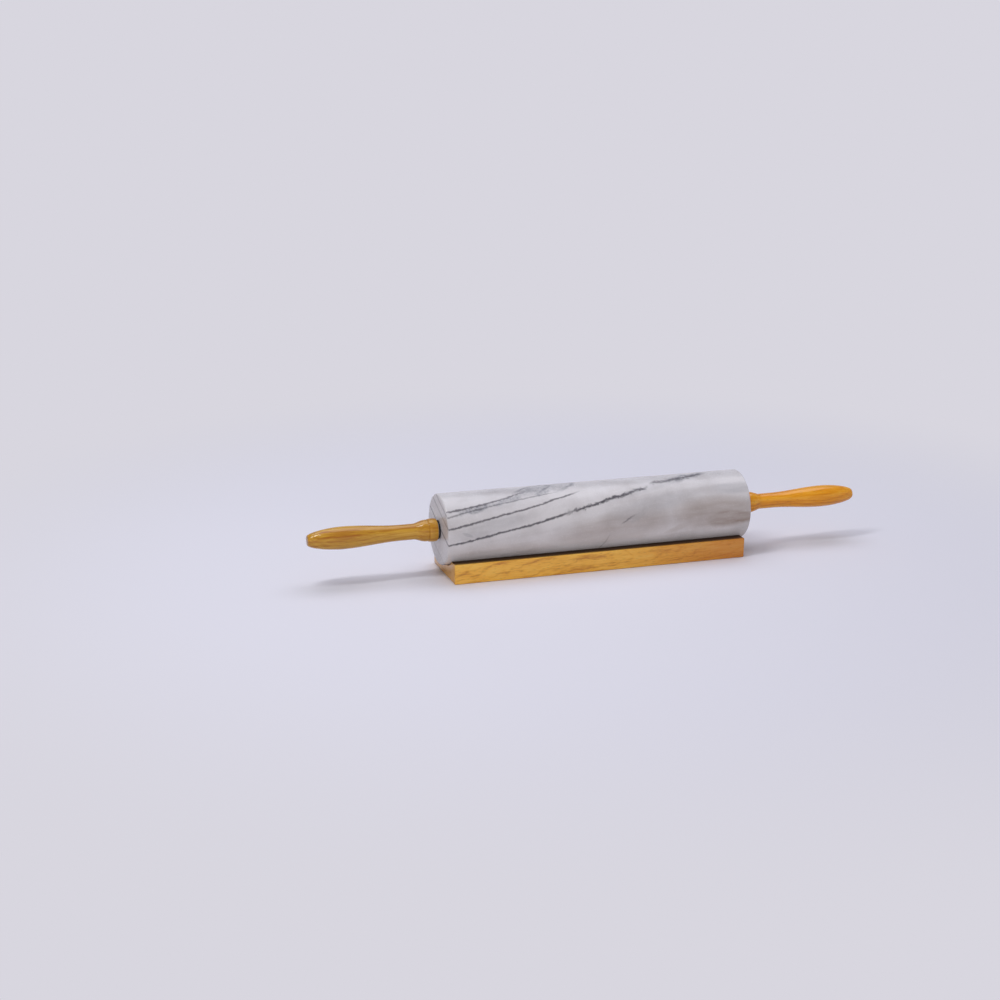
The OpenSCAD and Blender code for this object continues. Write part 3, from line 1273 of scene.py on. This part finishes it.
@dataclass
class Studio:
    """The pale floor, the soft lights and the camera."""

    floor_colour: str = "eeeefb"
    backdrop_colour: str = "d8d6df"
    bounce_colour: str = "b4b2b8"
    # The floor fades to the backdrop between these distances from the pin, in metres
    floor_size: float = 25.0
    floor_fade: tuple[float, float] = (0.26, 0.62)
    fill: float = 0.24
    ceiling: float = 0.3
    lamps: tuple[Lamp, ...] = (
        Lamp("overhead_softbox", (0.2, 0.45, 1.5), (1.7, 1.1), 11.2, "f8f7ff"),
        Lamp("key_lamp", (-0.58, -0.16, 1.2), (0.17, 0.55), 4.2),
        Lamp("front_softbox", (-0.45, -1.45, 0.2), (2.0, 0.3), 10.0, "fff8f0", gleams=False),
    )
    # The camera stands where the photograph's picture of the pin was taken from
    azimuth: float = -18.4
    elevation: float = 16.5
    roll: float = 0.6
    distance: float = 1.493
    aim: tuple[float, float, float] = (-0.0767, 0.0, 0.0565)
    focal_pixels: float = 1910.0
    frame_pixels: float = 1000.0

    def build(self) -> None:
        """Sets the floor, the sky, the lamps and the camera."""
        self._floor()
        self._sky()
        for lamp in self.lamps:
            lamp.hang()
        self._camera()

    def _floor(self) -> None:
        """Lays a wide pale floor, which fades to the backdrop's colour away from the pin.

        It throws less light back up than its colour would, as if the pin stood on a narrower sheet.
        """
        shape = bmesh.new()
        bmesh.ops.create_grid(shape, x_segments=2, y_segments=2, size=self.floor_size)
        material, tree, shader = new_material("pale_floor")
        seen = self._seen(tree)
        paint = lay_tints(tree, linear_colour(self.bounce_colour), [(seen, self.floor_colour)])
        fill_inputs(tree, shader, {"Base Color": paint, "Roughness": 0.9, "Specular IOR Level": 0.1})
        spot = add_node(tree, "TexCoord")
        reach = add_node(tree, "VectorMath", {0: spot.outputs["Object"]}, operation="LENGTH")
        near, far = self.floor_fade
        fading = {"Value": reach, "From Min": near, "From Max": far}
        away = add_node(tree, "MapRange", fading, interpolation_type="SMOOTHSTEP")
        amount = add_node(tree, "Math", {0: away, 1: seen}, operation="MULTIPLY")
        glow = add_node(tree, "Emission", {"Color": linear_colour(self.backdrop_colour), "Strength": 1.0})
        mix = add_node(tree, "MixShader", {0: amount, 1: shader, 2: glow})
        output = next(node for node in tree.nodes if node.type == "OUTPUT_MATERIAL")
        fill_inputs(tree, output, {"Surface": mix})
        finished_object("studio_floor", shape, material)

    def _seen(self, tree: Tree) -> Node:
        """Says whether a ray comes from the camera, or from a mirror-like or clear surface.

        Args:
            tree: The node tree to add to.

        Returns:
            The node that gives 1 for such a ray.
        """
        rays = add_node(tree, "LightPath").outputs
        direct = {0: rays["Is Camera Ray"], 1: rays["Is Glossy Ray"]}
        seen = add_node(tree, "Math", direct, operation="MAXIMUM")
        return add_node(tree, "Math", {0: seen, 1: rays["Is Transmission Ray"]}, operation="MAXIMUM")

    def _sky(self) -> None:
        """Lights the scene evenly from all round, and shows a pale wall below a dimmer ceiling."""
        world = bpy.data.worlds.new("studio_sky")
        bpy.context.scene.world = world
        world.use_nodes = True
        tree = world.node_tree
        tree.nodes.clear()
        spot = add_node(tree, "TexCoord")
        height = add_node(tree, "SeparateXYZ", {0: spot.outputs["Generated"]})
        dimming = {"From Min": 0.2, "From Max": 0.6, "To Min": 1.0, "To Max": self.ceiling}
        upward = {"Value": height.outputs["Z"], **dimming}
        wall = add_node(tree, "MapRange", upward, interpolation_type="SMOOTHSTEP")
        light = add_node(tree, "Background", {"Color": linear_colour("ffffff"), "Strength": self.fill})
        shown = add_node(tree, "Background", {"Color": linear_colour(self.backdrop_colour), "Strength": wall})
        mix = add_node(tree, "MixShader", {0: self._seen(tree), 1: light, 2: shown})
        add_node(tree, "OutputWorld", {"Surface": mix})

    def _camera(self) -> None:
        """Stands the camera at the photograph's viewing angle."""
        azimuth, elevation, roll = (math.radians(a) for a in (self.azimuth, self.elevation, self.roll))
        away = Vector((math.sin(azimuth), -math.cos(azimuth), 0.0))
        back = away * math.cos(elevation) + Vector((0.0, 0.0, math.sin(elevation)))
        level = Vector((math.cos(azimuth), math.sin(azimuth), 0.0))
        upright = back.cross(level)
        right = level * math.cos(roll) + upright * math.sin(roll)
        up = upright * math.cos(roll) - level * math.sin(roll)
        lens = bpy.data.cameras.new("camera")
        lens.sensor_width = 36.0
        lens.lens = lens.sensor_width * self.focal_pixels / self.frame_pixels
        lens.clip_end = 100.0
        camera = bpy.data.objects.new("camera", lens)
        turn = Matrix((right, up, back)).transposed().to_4x4()
        camera.matrix_world = Matrix.Translation(Vector(self.aim) + back * self.distance) @ turn
        bpy.context.scene.collection.objects.link(camera)
        bpy.context.scene.camera = camera


def main() -> None:
    """Builds the dressed rolling pin in its studio."""
    logging.basicConfig(level=logging.INFO, format="%(name)s: %(message)s")
    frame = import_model()
    bpy.context.scene.view_settings.view_transform = "Standard"
    Studio().build()
    Barrel().build()
    axis_height = (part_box("barrel")[0].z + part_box("barrel")[1].z) / 2
    handle_woods = {
        Side.LEFT: LacqueredWood(
            "lacquered_left_handle",
            pith=(0.0, 10.0, 13.0 - axis_height / MM),
            pith_tilt=(0.0, 0.01, 0.02),
            light="d8a942",
            middle="c18d2b",
            dark="a2601c",
            ring_contrast=0.08,
        ),
        Side.RIGHT: LacqueredWood(
            "lacquered_right_handle",
            pith=(0.0, -9.0, 16.0 - axis_height / MM),
            pith_tilt=(0.0, -0.01, 0.02),
            light="fab83a",
            middle="ee9c14",
            dark="cc7a10",
            ring_contrast=0.08,
        ),
    }
    for side, wood in handle_woods.items():
        Handle(side).build(wood)
    cradle_wood = LacqueredWood(
        "lacquered_cradle",
        pith=(0.0, -6.0, -13.0),
        pith_tilt=(0.0, 0.01, -0.035),
        light="f8c65c",
        middle="f2b648",
        dark="c88632",
        red="c46822",
        red_end=0.62,
        ring_spacing=1.2,
        ring_contrast=0.1,
        sway=3.4,
        distortion=2.2,
        lateness=6.0,
        fibre_stretch=0.09,
        fleck_strength=0.35,
        end_grain=0.35,
        # Painted shade darkens the cradle's lips where the barrel hangs over them
        painted_shade=0.97,
    )
    Cradle().build(cradle_wood)
    Bearings().dress(frame["nodes"])


if __name__ == "__main__":
    main()
